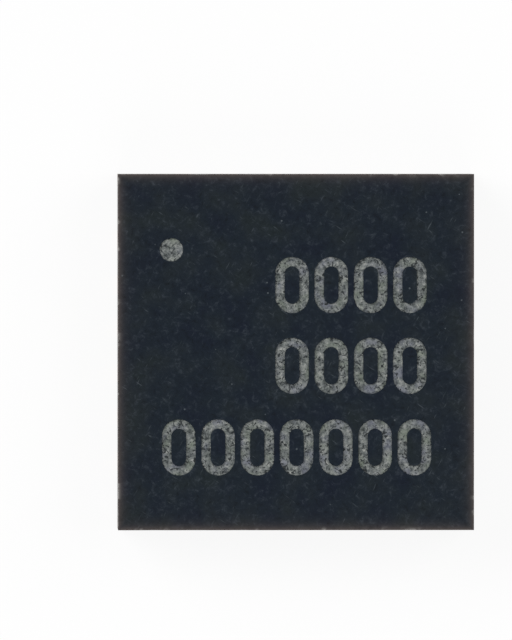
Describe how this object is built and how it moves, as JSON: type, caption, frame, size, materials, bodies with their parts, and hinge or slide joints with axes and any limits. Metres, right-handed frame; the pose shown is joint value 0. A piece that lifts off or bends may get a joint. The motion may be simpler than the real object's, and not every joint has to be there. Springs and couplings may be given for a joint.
{
  "type": "qfn chip",
  "caption": "Flat square no-lead chip package: a sawn black moulded body with plated feet flush around its edges, an exposed pad below, and a wire-bonded die inside.",
  "frame": {"origin": "middle of the package on the plane of the soldering feet", "axes": "+Z out of the marked face; +X to the right and +Y up when the marked face is read upright, with lead 1 at the +Y end of the -X side"},
  "size_m": [0.004, 0.004, 0.0009],
  "materials": {
    "mould_compound": "fine matte grain on the marked face, smooth underside, sawn sides",
    "plated_copper": "warm grey thin plating with fine rolling lines",
    "silver_epoxy": "cured silver-filled paste",
    "silicon": "polished",
    "gold_wire": "bright drawn wire"
  },
  "bodies": {
    "root": {"mould_body": "mould_compound", "die_paddle": "plated_copper", "die_attach": "silver_epoxy", "silicon_die": "silicon", "lead_1": "plated_copper", "lead_2": "plated_copper", "lead_3": "plated_copper", "lead_4": "plated_copper", "lead_5": "plated_copper", "lead_6": "plated_copper", "lead_7": "plated_copper", "lead_8": "plated_copper", "lead_9": "plated_copper", "lead_10": "plated_copper", "lead_11": "plated_copper", "lead_12": "plated_copper", "lead_13": "plated_copper", "lead_14": "plated_copper", "lead_15": "plated_copper", "lead_16": "plated_copper", "lead_17": "plated_copper", "lead_18": "plated_copper", "lead_19": "plated_copper", "lead_20": "plated_copper", "lead_21": "plated_copper", "lead_22": "plated_copper", "lead_23": "plated_copper", "lead_24": "plated_copper", "bond_wire_1": "gold_wire", "bond_wire_2": "gold_wire", "bond_wire_3": "gold_wire", "bond_wire_4": "gold_wire", "bond_wire_5": "gold_wire", "bond_wire_6": "gold_wire", "bond_wire_7": "gold_wire", "bond_wire_8": "gold_wire", "bond_wire_9": "gold_wire", "bond_wire_10": "gold_wire", "bond_wire_11": "gold_wire", "bond_wire_12": "gold_wire", "bond_wire_13": "gold_wire", "bond_wire_14": "gold_wire", "bond_wire_15": "gold_wire", "bond_wire_16": "gold_wire", "bond_wire_17": "gold_wire", "bond_wire_18": "gold_wire", "bond_wire_19": "gold_wire", "bond_wire_20": "gold_wire", "bond_wire_21": "gold_wire", "bond_wire_22": "gold_wire", "bond_wire_23": "gold_wire", "bond_wire_24": "gold_wire"}
  },
  "joints": []
}
